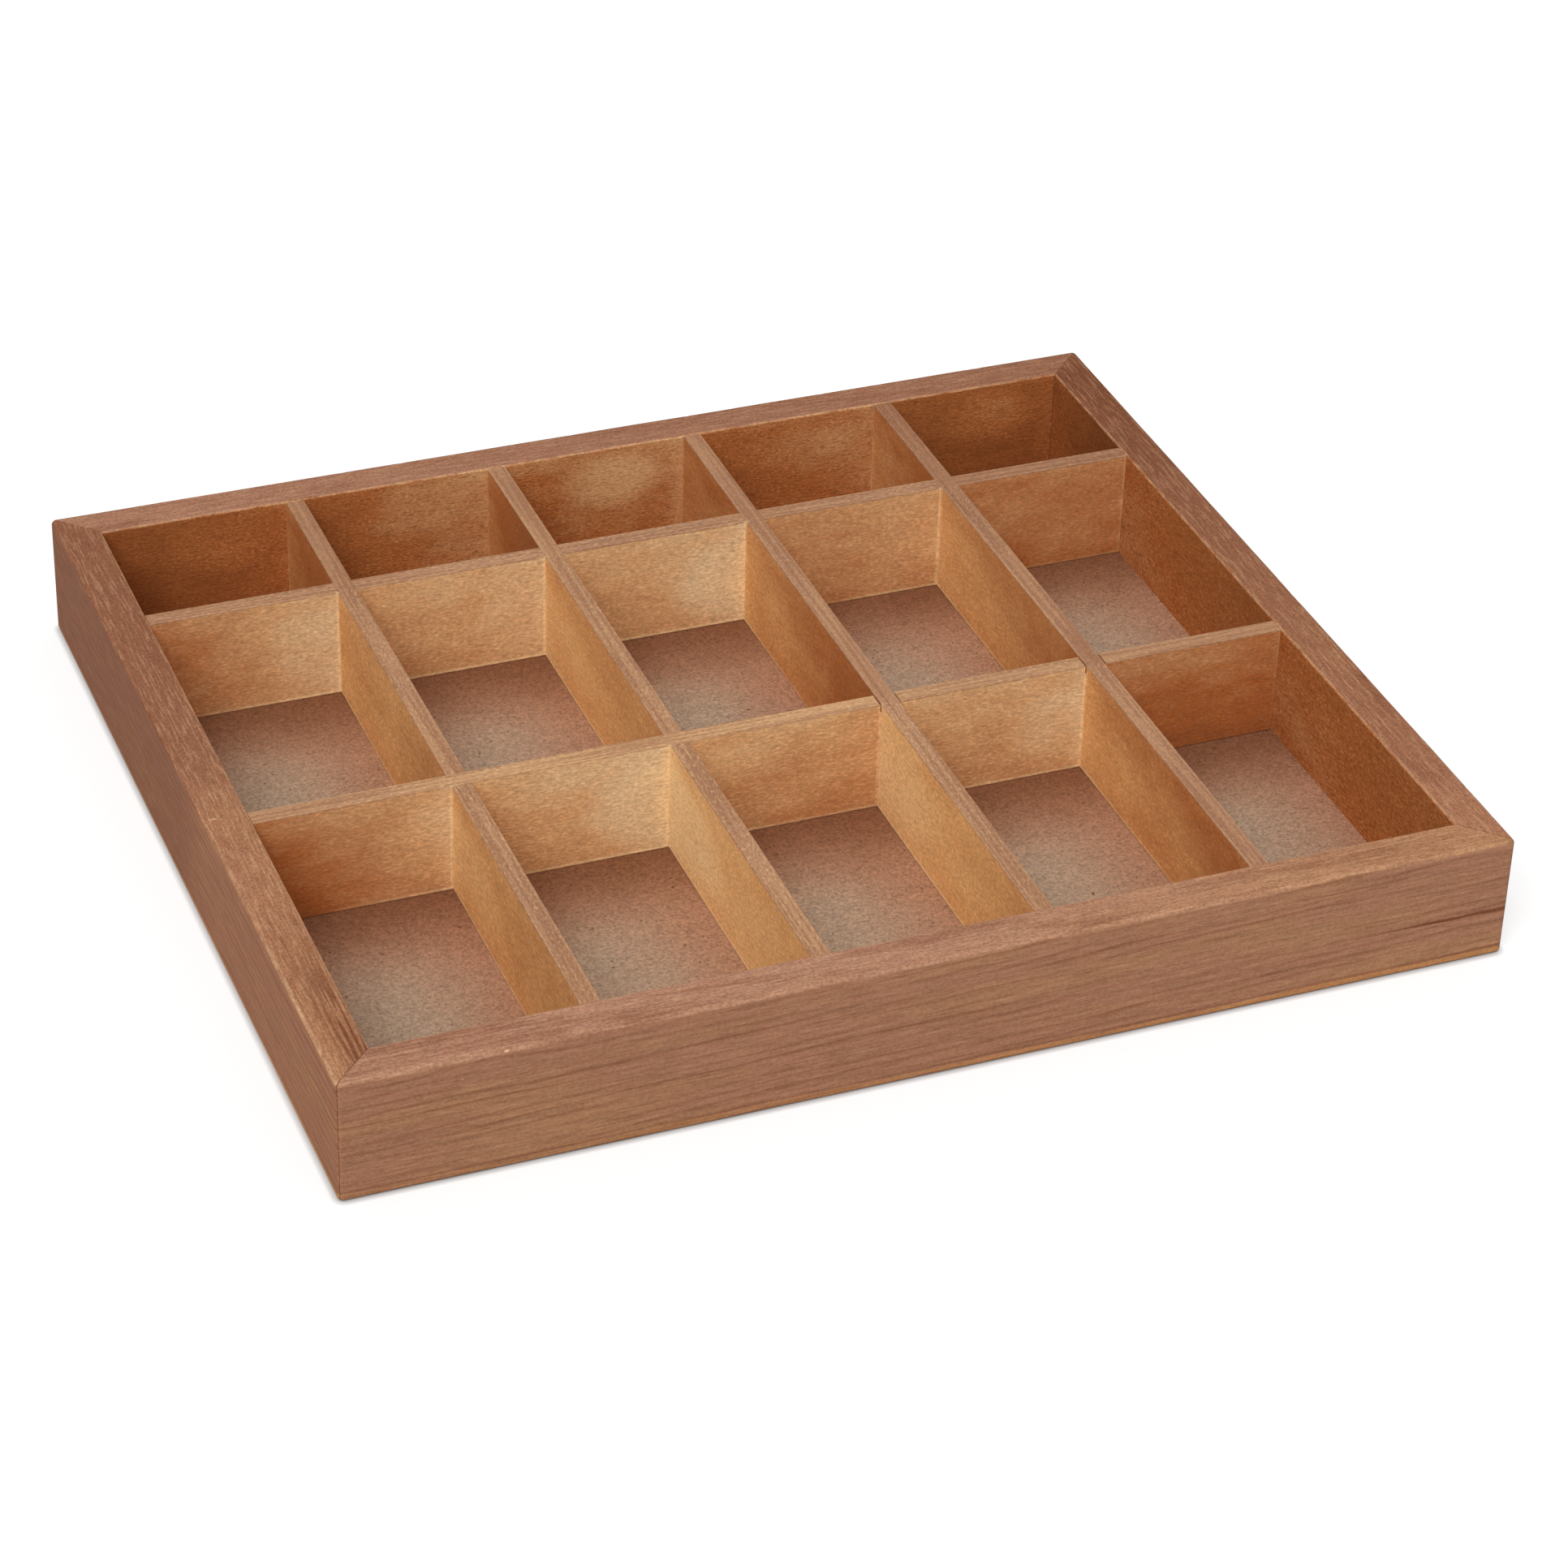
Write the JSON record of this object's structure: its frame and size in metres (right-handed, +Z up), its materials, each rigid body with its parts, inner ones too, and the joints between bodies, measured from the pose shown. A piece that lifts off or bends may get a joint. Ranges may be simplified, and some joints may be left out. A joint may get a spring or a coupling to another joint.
{
  "type": "sorting box",
  "caption": "Open wooden sorting box: a mitred frame round a grid of interlocked slats, which make compartments on a thin hardboard bottom.",
  "frame": {"origin": "middle of the underside, on the surface that the box stands on", "axes": "+X to the right along the long side, +Y to the back, where the shallow row of compartments is, +Z up out of the compartments"},
  "size_m": [0.4, 0.35, 0.045],
  "materials": {
    "rail_wood": "oiled hardwood, fine straight grain, satin",
    "slat_wood": "oiled hardwood with small flecks, satin",
    "hardboard": "brown hardboard, smooth face, matt"
  },
  "bodies": {
    "root": {"front_rail": "rail_wood", "back_rail": "rail_wood", "left_rail": "rail_wood", "right_rail": "rail_wood", "column_slat_1": "slat_wood", "column_slat_2": "slat_wood", "column_slat_3": "slat_wood", "column_slat_4": "slat_wood", "front_row_slat": "slat_wood", "back_row_slat": "slat_wood", "bottom_board": "hardboard"}
  },
  "joints": []
}
